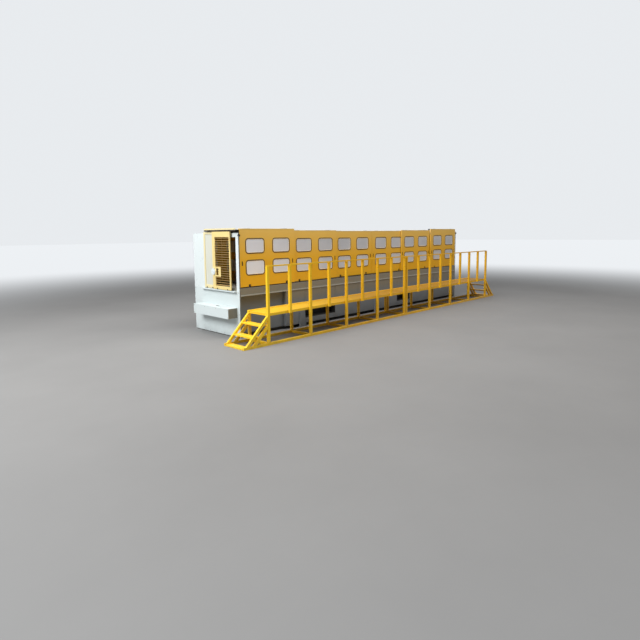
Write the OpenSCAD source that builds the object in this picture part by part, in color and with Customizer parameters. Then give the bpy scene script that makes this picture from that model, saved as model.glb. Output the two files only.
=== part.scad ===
// Multi-block wire rolling line behind six sliding guard doors, with a walkway along the front.
// X runs along the line, Y away from the walkway and Z up. The origin is on the floor, mid plan.
// The modules work from the line's front left floor corner, and place() shifts them to the origin.

/* [Bed] */
// Height of the bed's top, where the doors' rails lie
bed_h = 1190; // [1000:10:1400]
// Height of the rib, under the band that carries the doors
rib_z = 1000; // [850:5:1060]
// Depth of the bed from front to back
bed_depth = 1950; // [1500:10:2400]
// Depth of the band and the front covers
cover_depth = 300; // [260:5:400]
// How far the first front cover lies back
cover_recess = 100; // [20:5:160]
// Width of the first front cover
first_cover_w = 1420; // [1100:10:1600]
// Width of the second front cover
second_cover_w = 690; // [400:10:900]
// Width of the open motor bay at the left
left_bay_w = 1195; // [700:5:1400]
// Width of the open motor bay at the right
right_bay_w = 740; // [400:10:1000]
// Width of the three covers between the bays
middle_cover_w = 1015; // [700:5:1300]
// Gap between neighbouring covers
cover_gap = 8; // [4:1:20]
// Height of the gap under the covers
toe_h = 90; // [20:5:110]
// Height of the gap under the end panels
panel_foot = 16; // [4:1:40]
// Height of the rib along the front
rib_h = 26; // [10:1:50]
// How far the rib stands proud
rib_out = 14; // [4:1:30]
// Height of the sill under the open motor bays
bay_sill = 220; // [120:10:400]
// Height of the open motor bays' heads
bay_head = 640; // [560:10:840]
// Height of the sloping motor pedestals
pedestal_h = 560; // [300:10:600]
// Width of a motor pedestal at the floor
pedestal_w = 230; // [120:5:300]
// Thickness of the end panels and frames
end_t = 30; // [16:1:34]
// Height of the low step box on the left end
step_h = 240; // [120:5:320]
// How far the step box stands out
step_out = 265; // [150:5:400]
// Height of the step box's underside
step_z = 485; // [300:5:600]
// Length of the step box
step_w = 1500; // [900:10:1700]

/* [Front doors] */
// Distance from door to door
door_pitch = 1680; // [1600:10:1800]
// How far a door reaches over its neighbour
door_lap = 65; // [30:5:75]
// Height of the doors on the rear track
door_h = 1324; // [1180:1:1500]
// Height of the doors' lower edge above the bed
door_lift = 26; // [22:1:44]
// Thickness of a door
door_t = 34; // [28:1:40]
// Distance between the tracks
track_pitch = 50; // [48:1:70]
// How much taller the doors on the middle track are than those on the rear one
middle_rise = 18; // [16:1:24]
// How much taller the doors on the front track are than those on the rear one
front_rise = 60; // [36:1:70]
// Thickness of the door's sheet
sheet_t = 4; // [2:0.5:6]
// Width of the door frame's rails
frame_w = 40; // [24:1:60]
// Width of the door frame's stiles
door_stile = 110; // [80:5:140]
// Width of a window
window_w = 550; // [400:5:600]
// Height of a window
window_h = 340; // [240:5:380]
// Radius of a window's corners
window_r = 70; // [30:1:110]
// Distance between the window columns
window_dx = 831; // [760:1:860]
// Distance between the window rows
window_dz = 518; // [440:1:560]
// Height of the lower windows' middle above the lower edge of a door on the rear track
window_z = 423; // [360:1:500]
// Width of the rubber gasket's lip on each side of the sheet's edge
lip_w = 17; // [6:0.5:24]
// How far the gasket stands proud
lip_out = 4; // [2:0.5:5]
// Thickness of a window pane
pane_t = 5; // [3:0.5:8]
// Radius of the doors' wheels
wheel_r = 28; // [20:1:34]
// Thickness of the doors' wheels
wheel_t = 12; // [8:1:14]
// Height of the wheel rails
wheel_rail_h = 12; // [8:1:16]
// Height of the pull grips
grip_h = 110; // [80:5:200]
// Width of the pull grips
grip_w = 30; // [22:1:44]
// Height of the pull grips' middle above the door's lower edge
grip_z = 560; // [300:5:700]
// Distance of the pull grips from the door's side edge
grip_in = 68; // [50:1:80]

/* [Enclosure] */
// Height of the enclosure's top
roof_z = 2500; // [2460:5:2510]
// Thickness of the roof and rear panels
panel_t = 30; // [16:1:50]
// Height of the beam along the front of the roof
beam_h = 80; // [50:5:120]
// Width of that beam
beam_w = 110; // [100:5:140]
// Height of the guide bars on the beam
guide_h = 24; // [14:1:26]
// Distance between the guide bars
guide_pitch = 36; // [35:1:44]
// Width of the white corner posts
corner_w = 107; // [80:1:140]
// Diameter of the round knobs on the corner posts
knob_d = 60; // [30:1:80]
// How far the knobs stand out
knob_out = 22; // [10:1:40]
// Diameter of the drawing blocks
block_d = 620; // [450:10:760]
// Height of the drawing blocks
block_h = 520; // [350:10:700]

/* [End doors] */
// Height of the opening's lower edge
end_sill_z = 1120; // [1000:5:1180]
// Height of the opening's upper edge
end_head_z = 2400; // [2250:5:2420]
// Width of the opening
end_open_w = 1430; // [1300:10:1500]
// Width of the louvred leaf
louvre_leaf_w = 740; // [600:5:760]
// Width of the glazed leaf
glazed_leaf_w = 430; // [360:5:520]
// Gap between the front post and the louvred leaf
louvre_gap = 130; // [80:5:150]
// Thickness of the leaves
leaf_t = 28; // [18:1:34]
// How far the leaves reach above the end frame
leaf_over = 32; // [10:1:60]
// Width of the louvred leaf's front stile
louvre_front_stile = 42; // [30:1:80]
// Width of the louvred leaf's rear stile
louvre_rear_stile = 110; // [60:1:130]
// Height of the louvred leaf's top rail
louvre_top_rail = 130; // [60:5:160]
// Width of the glazed leaf's stiles and height of its top rail
glazed_stile = 60; // [40:1:90]
// Height of both leaves' bottom rails
bottom_rail = 80; // [50:1:110]
// Distance between the louvre slats
slat_pitch = 54; // [44:1:90]
// Thickness of a louvre slat
slat_t = 3; // [1.5:0.5:5]
// Diameter of the pale lock disc
disc_d = 160; // [60:5:180]
// How far the lock disc stands out
disc_t = 30; // [12:1:40]
// Height of the angle along the top rail
cover_h = 36; // [16:1:60]

/* [Walkway] */
// Distance from post to post
post_pitch = 659; // [560:1:700]
// Distance between the twin posts where the two lengths meet
twin_gap = 104; // [90:1:300]
// Size of the square posts
post_s = 60; // [40:1:80]
// Height of the deck
deck_z = 705; // [600:5:900]
// Height of the handrail above the deck
rail_h = 1075; // [900:5:1200]
// Size of the handrail
rail_s = 30; // [20:1:50]
// Distance from the posts' middle to the machine
walk_out = 1035; // [900:5:1200]
// Distance from the front posts' middle to the back legs' middle
walk_w = 685; // [550:5:720]
// Height of the skirt beam under the deck's front edge
skirt_h = 50; // [40:1:180]
// Depth of the edge beam at the deck's back, below the deck
edge_h = 60; // [40:1:80]
// How far that beam stands above the deck
kick_h = 15; // [4:1:60]
// Thickness of the skirt beam
skirt_t = 40; // [10:1:50]
// Size of the floor rails
floor_s = 58; // [30:1:80]
// Size of the bearers under the deck
bearer_s = 40; // [20:1:60]
// Thickness of the deck plates
deck_t = 6; // [4:0.5:10]
// Length of each stair on the floor
stair_run = 700; // [500:5:900]
// Depth of a tread
tread_d = 200; // [160:5:260]
// Thickness of a tread
tread_t = 30; // [16:1:50]
// Width of the stringers' sloping bars along the floor
bar_w = 88; // [40:1:100]
// Thickness of the stringers
bar_t = 50; // [30:1:60]

/* [Hidden] */

// Colours of the finishes
ochre = [0.82, 0.63, 0.16];
walk_yellow = [0.94, 0.73, 0.14];
bed_grey = [0.45, 0.44, 0.41];
pale = [0.87, 0.90, 0.91];
white = [0.93, 0.95, 0.96];
dark = [0.20, 0.17, 0.14];
pane_grey = [0.71, 0.71, 0.73];

// Clearance between seated pieces, and between moving ones
seat = 0.3;
run = 6;
// Overshoot of a cut past the faces it opens
cut = 1;

// Doors: the track of each, where 0 is the rear one, and how far each stands off its bay's middle
door_track = [2, 1, 0, 0, 1, 2];
door_shift = [0, 0, 10, 85, -65, 0];
track_rise = [0, middle_rise, front_rise];
bays = 6;
tracks = 3;
blocks = 5;
side_play = 10;
door_margin = end_t + side_play;
door_w = door_pitch + door_lap;
door_z = bed_h + door_lift;
bed_len = (bays - 1) * door_pitch + door_w + 2 * door_margin;
inner_len = bed_len - 2 * end_t;
first_track_y = 8;
wheel_places = [0.16, 0.84];
rail_top = bed_h + wheel_rail_h;
wheel_rail_t = 10;
notch_play = 8;
notch_rise = 6;
notch_w = 2 * (wheel_r + notch_play);
notch_h = 2 * (wheel_r + notch_rise);
axle_d = 10;
cheek_t = 3;
grip_depth = 16;
grip_wall = 4;
grip_flat = 2;
grip_r = (grip_w - grip_flat) / 2;

// Left edges of the front covers and the open bays, from left to right
second_x = end_t + first_cover_w;
left_bay_x = second_x + second_cover_w;
middle_x = left_bay_x + left_bay_w;
right_bay_x = middle_x + 3 * middle_cover_w;
last_x = right_bay_x + right_bay_w;
last_cover_w = (bed_len - end_t - last_x) / 2;

// Enclosure: the end frames reach at least a head's height above their opening
head_wall = 60;
frame_top = max(roof_z, end_head_z + head_wall);
rear_play = 2;
rear_face = bed_depth - lip_out - rear_play;
panel_pitch = inner_len / bays;
beam_gap = 30;
beam_y = first_track_y + (tracks - 1) * track_pitch + door_t + beam_gap;
guide_in = 10;
guide_t = 6;
hook_t = 4;
hook_w = 60;
strap_play = 16;
finger_play = 2;

// End doors: the louvred leaf runs on the outer track, the glazed one behind it
leaf_gap = 8;
leaf_seam = 4;
leaf_lift = 16;
leaf_z = end_sill_z + leaf_lift;
leaf_top = frame_top + leaf_over;
leaf_h = leaf_top - leaf_z;
louvre_inside = leaf_h - bottom_rail - louvre_top_rail;
louvre_x = -2 * (leaf_gap + leaf_t);
glazed_x = -(leaf_gap + leaf_t);
louvre_y = corner_w + louvre_gap;
glazed_y = louvre_y + louvre_leaf_w + leaf_seam;
pull_w = 245;
pull_h = 240;
pull_t = 12;
pull_lap = 20;
disc_in = 45;
pull_z = leaf_h * 0.22;
hanger_d = 8;
hanger_places = [0.18, 0.76];
guide_pin_h = 12;
roller_d = 18;
roller_h = 8;
rail_play = 7;
rail_past = 14;
slot_play = 6;
groove_play = 8;
sill_past = 4;
channel_z = leaf_top + rail_play;
channel_w = 30;
channel_h = 28;
channel_wall = 4;
channel_len = glazed_y + glazed_leaf_w * hanger_places[1] + rail_past;
rail_x = louvre_x + (leaf_t - channel_w) / 2;
rail_plate_z = channel_z + channel_h;
rail_plate_t = 5;

// Walkway
walk_pitches = 8;
module_l = walk_pitches * post_pitch;
walk_len = 2 * module_l + twin_gap;
deck_low = deck_z - deck_t;
skirt_y = -walk_out + post_s / 2;
back_y = -walk_out + walk_w;
risers = 3;
rise = deck_z / risers;
stair_top = deck_low - seat;
lean = stair_run / stair_top;
// Depth of the treads, the last of which ends at the post
last_tread_x = (risers - 1) * rise * lean - stair_run;
tread_reach = min(tread_d, -post_s / 2 - seat - last_tread_x);

// The plan's middle
mid_x = walk_len / 2;
mid_y = (bed_depth - walk_out - post_s / 2) / 2;

// Front face of the doors on a track
function track_y(t) = first_track_y + (tracks - 1 - t) * track_pitch;
// Left edge of a door
function door_x(k) = door_margin + k * door_pitch + door_shift[k];
// Height of a door
function door_height(k) = door_h + track_rise[door_track[k]];
// Height of the lower windows' middle in a door: the taller doors carry their windows higher
function window_low(k) = window_z + track_rise[door_track[k]] / 2;
// Underside of a door's straps: on its top edge, or above it where the guide bars stand higher
function strap_z(k) = max(door_z + door_height(k), roof_z + guide_h + strap_play + track_rise[door_track[k]]);
// Front face of a guide bar
function guide_y(t) = beam_y + guide_in + t * guide_pitch;
// Middle of post i of length m of the walkway
function post_x(m, i) = m * (module_l + twin_gap) + i * post_pitch;

// Lower end of a post: on the floor rail at the legs, else level with the skirt beam's underside
function post_low(i) = i % 2 == 0 ? floor_s : deck_low - skirt_h;

// Moves a piece from the line's own corner to the part's origin
module place() {
    translate([-mid_x, -mid_y, 0])
        children();
}

// Box between two opposite corners
module span(low, high) {
    translate(low)
        cube(high - low);
}

module round_rect(w, h, r) {
    union() {
        square([w - 2 * r, h], center = true);
        square([w, h - 2 * r], center = true);
        for (sx = [-1, 1], sy = [-1, 1])
            translate([sx * (w / 2 - r), sy * (h / 2 - r)])
                circle(r, $fn = 32);
    }
}

// Upright plate with round corners, its front face at Y 0
module round_plate(w, h, r, t) {
    rotate([90, 0, 0])
        translate([0, 0, -t])
            linear_extrude(t)
                round_rect(w, h, r);
}

// The four windows of a panel of width w
module at_windows(w, low) {
    for (i = [-1, 1], j = [0, 1])
        translate([(w + i * window_dx) / 2, 0, low + j * window_dz])
            children();
}

// Sheet panel with a frame behind it and four windows
module window_panel(w, h, t, low) {
    bay_w = w / 2 - door_stile - frame_w / 2;
    difference() {
        cube([w, t, h]);
        for (x = [door_stile, w / 2 + frame_w / 2])
            translate([x, sheet_t, frame_w])
                cube([bay_w, t, h - 2 * frame_w]);
        at_windows(w, low)
            translate([0, -cut, 0])
                round_plate(window_w, window_h, window_r, t + 2 * cut);
    }
}

// Rubber gasket: a lip on the sheet and a core that reaches through it
module gasket() {
    difference() {
        union() {
            translate([0, -lip_out, 0])
                round_plate(window_w + 2 * lip_w, window_h + 2 * lip_w, window_r + lip_w, lip_out - seat);
            translate([0, -lip_out, 0])
                round_plate(window_w - 2 * seat, window_h - 2 * seat, window_r - seat, 2 * lip_out + sheet_t);
        }
        translate([0, -lip_out - cut, 0])
            round_plate(window_w - 2 * lip_w, window_h - 2 * lip_w, window_r - lip_w,
                2 * lip_out + sheet_t + 2 * cut);
    }
}

module pane() {
    inset = lip_w + seat;
    round_plate(window_w - 2 * inset, window_h - 2 * inset, window_r - inset, pane_t);
}

// Bed
module bed_core() {
    color(bed_grey)
        place()
            span([end_t, cover_depth, 0], [bed_len - end_t, bed_depth, bed_h]);
}

module front_band() {
    color(bed_grey)
        place()
            span([end_t, 0, rib_z], [bed_len - end_t, cover_depth, bed_h]);
}

module ledge_rib() {
    color(pale)
        place()
            span([end_t, -rib_out, rib_z], [bed_len - end_t, 0, rib_z + rib_h]);
}

module front_cover(x, w, y = 0) {
    span([x, y, toe_h], [x + w - cover_gap, cover_depth, rib_z]);
}

module front_covers() {
    color(bed_grey)
        place() {
            front_cover(end_t, first_cover_w, cover_recess);
            front_cover(second_x, second_cover_w);
            for (k = [0:2])
                front_cover(middle_x + k * middle_cover_w, middle_cover_w);
            for (k = [0:1])
                front_cover(last_x + k * last_cover_w, last_cover_w);
            for (bay = [[left_bay_x, left_bay_w], [right_bay_x, right_bay_w]]) {
                span([bay[0], 0, toe_h], [bay[0] + bay[1] - cover_gap, cover_depth, bay_sill]);
                span([bay[0], 0, bay_head], [bay[0] + bay[1] - cover_gap, cover_depth, rib_z]);
            }
        }
}

module motor_pedestals() {
    pedestal_t = 40;
    pedestal_top_w = pedestal_w * 0.7;
    outline = [[0, 0], [pedestal_w, 0], [pedestal_top_w, pedestal_h], [0, pedestal_h]];
    color(bed_grey)
        place()
            for (x = [left_bay_x - pedestal_w, middle_x + 2 * middle_cover_w - pedestal_w])
                translate([x, 0, 0])
                    rotate([90, 0, 0])
                        linear_extrude(pedestal_t)
                            polygon(outline);
}

// Ends
module end_panel(x) {
    color(pale)
        place()
            span([x, 0, panel_foot], [x + end_t, bed_depth, end_sill_z]);
}

module left_end_panel() {
    end_panel(0);
}

module right_end_panel() {
    end_panel(bed_len - end_t);
}

module step_box() {
    slot_depth = 15;
    slot_len = 130;
    slot_y = corner_w + step_w * 0.27;
    step_top = step_z + step_h;
    color(pale)
        place()
            difference() {
                span([-step_out, corner_w, step_z], [0, corner_w + step_w, step_top]);
                span([-step_out * 0.6, slot_y, step_top - slot_depth],
                    [-step_out * 0.4, slot_y + slot_len, step_top + cut]);
            }
}

module end_frame(x) {
    color(white)
        place()
            translate([x, 0, 0])
                difference() {
                    span([0, 0, end_sill_z], [end_t, bed_depth, frame_top]);
                    span([-cut, corner_w, end_sill_z - cut],
                        [end_t + cut, corner_w + end_open_w, end_head_z]);
                }
}

module left_end_frame() {
    end_frame(0);
}

module right_end_frame() {
    end_frame(bed_len - end_t);
}

module right_end_sheet() {
    color(ochre)
        place()
            span([bed_len - end_t, corner_w, end_sill_z], [bed_len, corner_w + end_open_w, end_head_z]);
}

module corner_knobs() {
    color(dark)
        place()
            for (x = [end_t / 2, bed_len - end_t / 2])
                translate([x, 0, frame_top - knob_d])
                    rotate([90, 0, 0])
                        cylinder(h = knob_out, d = knob_d, $fn = 32);
}

// Beam along the front of the roof, with the guide bars that the doors' hooks run over
module head_beam() {
    color(pale)
        place() {
            span([end_t, beam_y, roof_z - beam_h], [bed_len - end_t, beam_y + beam_w, roof_z]);
            for (t = [0:tracks - 1])
                span([end_t, guide_y(t), roof_z], [bed_len - end_t, guide_y(t) + guide_t, roof_z + guide_h]);
        }
}

module wheel_rails() {
    color(dark)
        place()
            for (t = [0:tracks - 1])
                translate([end_t, track_y(t) + (door_t - wheel_rail_t) / 2, bed_h])
                    cube([inner_len, wheel_rail_t, wheel_rail_h]);
}

// Roof and rear wall
module roof_panels() {
    color(ochre)
        place()
            for (k = [0:bays - 1])
                span([end_t + k * panel_pitch, beam_y + beam_w, roof_z - panel_t],
                    [end_t + (k + 1) * panel_pitch - cover_gap, rear_face - panel_t, roof_z]);
}

// Rear panels face the other way, each from its own lower corner
module at_rear_panels() {
    for (k = [1:bays])
        translate([end_t + k * panel_pitch - cover_gap, rear_face, bed_h])
            rotate([0, 0, 180])
                children();
}

module rear_panels() {
    color(ochre)
        place()
            at_rear_panels()
                window_panel(panel_pitch - cover_gap, roof_z - bed_h, panel_t, window_z);
}

module rear_windows() {
    color(pane_grey)
        place()
            at_rear_panels()
                at_windows(panel_pitch - cover_gap, window_z) {
                    gasket();
                    pane();
                }
}

// Five drawing blocks on the bed: a flange, a drum with a slight taper, a step and a cap
module drawing_blocks() {
    r = block_d / 2;
    flange_r = r * 1.12;
    flange_h = 60;
    step_r = r * 0.88;
    chamfer = 30;
    outline = [[0, 0], [flange_r, 0], [flange_r, flange_h], [r, flange_h + chamfer],
        [r * 0.96, block_h * 0.5], [step_r, block_h * 0.55], [step_r, block_h - chamfer],
        [step_r - chamfer, block_h], [0, block_h]];
    color(pale)
        place()
            for (k = [0:blocks - 1])
                translate([end_t + (k + 0.5) * inner_len / blocks, (cover_depth + rear_face) / 2, bed_h])
                    rotate_extrude($fn = 64)
                        polygon(outline);
}

// Sliding doors
module at_door(k) {
    place()
        translate([door_x(k), track_y(door_track[k]), door_z])
            children();
}

module at_wheels() {
    for (s = wheel_places)
        translate([door_w * s, 0, rail_top + seat + wheel_r - door_z])
            children();
}

module at_grips() {
    for (x = [grip_in, door_w - grip_in])
        translate([x, 0, grip_z])
            children();
}

module door_panel(k) {
    color(ochre)
        at_door(k)
            difference() {
                window_panel(door_w, door_height(k), door_t, window_low(k));
                at_wheels()
                    translate([-notch_w / 2, -cut, -wheel_r])
                        cube([notch_w, door_t + 2 * cut, notch_h]);
                at_grips()
                    translate([0, -cut, 0])
                        round_plate(grip_w, grip_h, grip_r, grip_depth + cut);
            }
}

module door_windows(k) {
    color(pane_grey)
        at_door(k)
            at_windows(door_w, window_low(k)) {
                gasket();
                pane();
            }
}

// A wheel on its axle between two cheeks that hang from a block in the door's notch
module wheel_set() {
    top = notch_h - wheel_r;
    margin = 4;
    block_t = 7;
    translate([0, (door_t + wheel_t) / 2, 0])
        rotate([90, 0, 0])
            cylinder(h = wheel_t, r = wheel_r, $fn = 40);
    translate([0, door_t - margin / 2, 0])
        rotate([90, 0, 0])
            cylinder(h = door_t - margin, d = axle_d, $fn = 24);
    for (y = [margin, door_t - margin - cheek_t])
        translate([-axle_d, y, -axle_d])
            cube([2 * axle_d, cheek_t, top + axle_d - block_t / 2]);
    translate([-notch_w / 2 + seat, margin, top - block_t])
        cube([notch_w - 2 * seat, door_t - 2 * margin, block_t - seat]);
}

// A strap over the door's top, and under it two fingers that reach down beside the guide bar
module hook(reach, drop, rise) {
    finger_gap = run + finger_play;
    back = reach + guide_t + finger_gap;
    translate([-hook_w / 2, 0, rise])
        cube([hook_w, back + hook_t, hook_t]);
    if (rise > 0)
        translate([-hook_w / 2, 0, 0])
            cube([hook_w, hook_t, rise]);
    for (y = [reach - finger_gap - hook_t, back])
        translate([-hook_w / 2, y, rise - drop])
            cube([hook_w, hook_t, drop - seat]);
}

module grip_cup() {
    difference() {
        round_plate(grip_w - 2 * seat, grip_h - 2 * seat, grip_r - seat, grip_depth - seat);
        translate([0, -cut, 0])
            round_plate(grip_w - 2 * grip_wall, grip_h - 2 * grip_wall, grip_r - grip_wall,
                grip_depth - grip_wall + cut);
    }
}

module door_fittings(k) {
    t = door_track[k];
    color(dark)
        at_door(k) {
            at_wheels()
                wheel_set();
            for (s = wheel_places)
                translate([door_w * s, 0, door_height(k)])
                    hook(guide_y(t) - track_y(t), strap_z(k) - roof_z - run,
                        strap_z(k) - door_z - door_height(k));
            at_grips()
                grip_cup();
        }
}

module door_1() {
    door_panel(0);
}

module door_1_windows() {
    door_windows(0);
}

module door_1_fittings() {
    door_fittings(0);
}

module door_2() {
    door_panel(1);
}

module door_2_windows() {
    door_windows(1);
}

module door_2_fittings() {
    door_fittings(1);
}

module door_3() {
    door_panel(2);
}

module door_3_windows() {
    door_windows(2);
}

module door_3_fittings() {
    door_fittings(2);
}

module door_4() {
    door_panel(3);
}

module door_4_windows() {
    door_windows(3);
}

module door_4_fittings() {
    door_fittings(3);
}

module door_5() {
    door_panel(4);
}

module door_5_windows() {
    door_windows(4);
}

module door_5_fittings() {
    door_fittings(4);
}

module door_6() {
    door_panel(5);
}

module door_6_windows() {
    door_windows(5);
}

module door_6_fittings() {
    door_fittings(5);
}

// Leaves at the left end, their outer faces towards -X
module leaf_frame(w, front_stile, rear_stile, top_rail) {
    difference() {
        cube([leaf_t, w, leaf_h]);
        span([-cut, front_stile, bottom_rail], [leaf_t + cut, w - rear_stile, leaf_h - top_rail]);
    }
}

// Plate with a hand slot that laps onto the rear stile
module pull_plate() {
    difference() {
        cube([pull_t, pull_w + pull_lap, pull_h]);
        translate([-cut, pull_w * 0.4, pull_h * 0.16])
            cube([pull_t + 2 * cut, pull_w * 0.4, pull_h * 0.68]);
    }
}

module louvre_leaf() {
    color(ochre)
        place()
            translate([louvre_x, louvre_y, leaf_z]) {
                leaf_frame(louvre_leaf_w, louvre_front_stile, louvre_rear_stile, louvre_top_rail);
                translate([-pull_t, louvre_leaf_w - louvre_rear_stile - pull_w, pull_z])
                    pull_plate();
                translate([0, louvre_leaf_w - disc_in, pull_z + pull_h / 2])
                    rotate([0, -90, 0])
                        cylinder(h = disc_t, d = disc_d, $fn = 40);
            }
}

module louvre_slats() {
    slat_tilt = 40;
    slat_len = louvre_leaf_w - louvre_front_stile - louvre_rear_stile - 2 * seat;
    count = floor(louvre_inside / slat_pitch);
    color(ochre)
        place()
            translate([louvre_x + leaf_t / 2, louvre_y + louvre_front_stile + seat, leaf_z + bottom_rail])
                for (i = [0:count - 1])
                    translate([0, 0, (i + 0.5) * louvre_inside / count])
                        rotate([0, slat_tilt, 0])
                            translate([-leaf_t / 2, 0, -slat_t / 2])
                                cube([leaf_t, slat_len, slat_t]);
}

// Pins up into the channel, each with a roller, and guide pins below
module hangers(x, y, w) {
    roller_z = channel_z + channel_wall + seat;
    for (s = hanger_places)
        translate([x + leaf_t / 2, y + w * s, 0]) {
            translate([0, 0, leaf_top])
                cylinder(h = roller_z - leaf_top, d = hanger_d, $fn = 24);
            translate([0, 0, roller_z])
                cylinder(h = roller_h, d = roller_d, $fn = 32);
            translate([0, 0, leaf_z - guide_pin_h])
                cylinder(h = guide_pin_h, d = hanger_d, $fn = 24);
        }
}

module louvre_fittings() {
    color(dark)
        place()
            hangers(louvre_x, louvre_y, louvre_leaf_w);
}

module glazed_leaf() {
    color(ochre)
        place()
            translate([glazed_x, glazed_y, leaf_z])
                leaf_frame(glazed_leaf_w, glazed_stile, glazed_stile, glazed_stile);
}

module glazed_pane() {
    edge = glazed_stile + seat;
    color(pale)
        place()
            translate([glazed_x + (leaf_t - pane_t) / 2, glazed_y, leaf_z])
                span([0, edge, bottom_rail + seat], [pane_t, glazed_leaf_w - edge, leaf_h - edge]);
}

module glazed_fittings() {
    color(dark)
        place()
            hangers(glazed_x, glazed_y, glazed_leaf_w);
}

// A channel with a slot along its underside, seen along Y
module channel_outline() {
    slot_w = hanger_d + slot_play;
    difference() {
        translate([-channel_w / 2, 0])
            square([channel_w, channel_h]);
        translate([channel_wall - channel_w / 2, channel_wall])
            square([channel_w - 2 * channel_wall, channel_h - 2 * channel_wall]);
        translate([-slot_w / 2, -cut])
            square([slot_w, channel_wall + 2 * cut]);
    }
}

// Two channels under a top plate, on a web that stands on the end frame
module end_door_rail() {
    web_t = 6;
    color(dark)
        place() {
            for (x = [louvre_x, glazed_x])
                translate([x + leaf_t / 2, channel_len, channel_z])
                    rotate([90, 0, 0])
                        linear_extrude(channel_len)
                            channel_outline();
            span([rail_x, 0, rail_plate_z], [end_t, channel_len, rail_plate_z + rail_plate_t]);
            span([end_t - web_t, 0, frame_top], [end_t, channel_len, rail_plate_z]);
        }
}

// Angle whose one leg lies on the rail's plate and whose other stands up at its outer edge
module end_rail_cover() {
    cover_t = 4;
    cover_z = rail_plate_z + rail_plate_t + seat;
    color(ochre)
        place() {
            span([rail_x, 0, cover_z], [end_t, channel_len, cover_z + cover_t]);
            span([rail_x, 0, cover_z], [rail_x + cover_t, channel_len, cover_z + cover_h]);
        }
}

module end_door_sill() {
    sill_h = 30;
    lip = 6;
    groove_w = hanger_d + groove_play;
    groove_h = 14;
    sill_top = end_sill_z + lip;
    sill_end = corner_w + end_open_w;
    color(pale)
        place()
            difference() {
                span([louvre_x - sill_past, corner_w, sill_top - sill_h], [0, sill_end, sill_top]);
                for (x = [louvre_x, glazed_x])
                    translate([x + leaf_t / 2, 0, sill_top])
                        span([-groove_w / 2, corner_w - cut, -groove_h],
                            [groove_w / 2, sill_end + cut, cut]);
            }
}

// Walkway: legs stand at every second post
module at_legs() {
    for (m = [0, 1], i = [0:2:walk_pitches])
        translate([post_x(m, i), 0, 0])
            children();
}

module walk_deck() {
    color(walk_yellow)
        place()
            for (m = [0, 1])
                span([post_x(m, 0) - post_s / 2, skirt_y, deck_low],
                    [post_x(m, walk_pitches) + post_s / 2, back_y - post_s / 2, deck_z]);
}

// Beams along both edges of the deck; the back one stands up past the deck
module walk_edges() {
    color(walk_yellow)
        place()
            for (m = [0, 1]) {
                x0 = post_x(m, 0) - post_s / 2;
                x1 = post_x(m, walk_pitches) + post_s / 2;
                span([x0, skirt_y, deck_low - skirt_h], [x1, skirt_y + skirt_t, deck_low]);
                span([x0, back_y - post_s / 2, deck_low - edge_h],
                    [x1, back_y + post_s / 2, deck_z + kick_h]);
            }
}

module walk_bearers() {
    color(walk_yellow)
        place()
            for (m = [0, 1], i = [0:walk_pitches])
                translate([post_x(m, i), 0, 0])
                    span([-bearer_s / 2, skirt_y + skirt_t, deck_low - bearer_s],
                        [bearer_s / 2, back_y - post_s / 2, deck_low]);
}

module walk_posts() {
    color(walk_yellow)
        place()
            for (m = [0, 1], i = [0:walk_pitches])
                translate([post_x(m, i), -walk_out, 0])
                    span([-post_s / 2, -post_s / 2, post_low(i)],
                        [post_s / 2, post_s / 2, deck_z + rail_h - rail_s]);
}

module handrail() {
    color(walk_yellow)
        place()
            span([-post_s / 2, -walk_out - rail_s / 2, deck_z + rail_h - rail_s],
                [walk_len + post_s / 2, -walk_out + rail_s / 2, deck_z + rail_h]);
}

module back_legs() {
    color(walk_yellow)
        place()
            at_legs()
                span([-post_s / 2, back_y - post_s / 2, floor_s],
                    [post_s / 2, back_y + post_s / 2, deck_low - edge_h]);
}

module floor_rails() {
    color(walk_yellow)
        place()
            for (y = [-walk_out, back_y])
                span([-post_s / 2, y - floor_s / 2, 0], [walk_len + post_s / 2, y + floor_s / 2, floor_s]);
}

module floor_ties() {
    color(walk_yellow)
        place()
            at_legs()
                span([-floor_s / 2, -walk_out + floor_s / 2, 0],
                    [floor_s / 2, back_y - floor_s / 2, floor_s]);
}

// One side of a stair, seen along Y: two sloping bars on a foot bar, cut off at the post
module stair_side() {
    bar = [[-stair_run, 0], [bar_w - stair_run, 0], [bar_w, stair_top], [0, stair_top]];
    rotate([90, 0, 0])
        linear_extrude(bar_t, center = true)
            intersection() {
                union() {
                    for (x = [0, tread_d])
                        translate([x, 0])
                            polygon(bar);
                    translate([-stair_run, 0])
                        square([stair_run, floor_s]);
                }
                translate([-stair_run, 0])
                    square([stair_run - post_s / 2, stair_top]);
            }
}

module stair_sides() {
    for (y = [-walk_out, back_y])
        translate([0, y, 0])
            stair_side();
}

module stair_treads() {
    for (i = [0:risers - 1])
        translate([-stair_run + i * rise * lean, -walk_out + bar_t / 2, max(i * rise - tread_t, 0)])
            cube([tread_reach, walk_w - bar_t, tread_t]);
}

module mirrored() {
    translate([walk_len, 0, 0])
        mirror([1, 0, 0])
            children();
}

module left_stringers() {
    color(walk_yellow)
        place()
            stair_sides();
}

module left_treads() {
    color(walk_yellow)
        place()
            stair_treads();
}

module right_stringers() {
    color(walk_yellow)
        place()
            mirrored()
                stair_sides();
}

module right_treads() {
    color(walk_yellow)
        place()
            mirrored()
                stair_treads();
}

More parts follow.
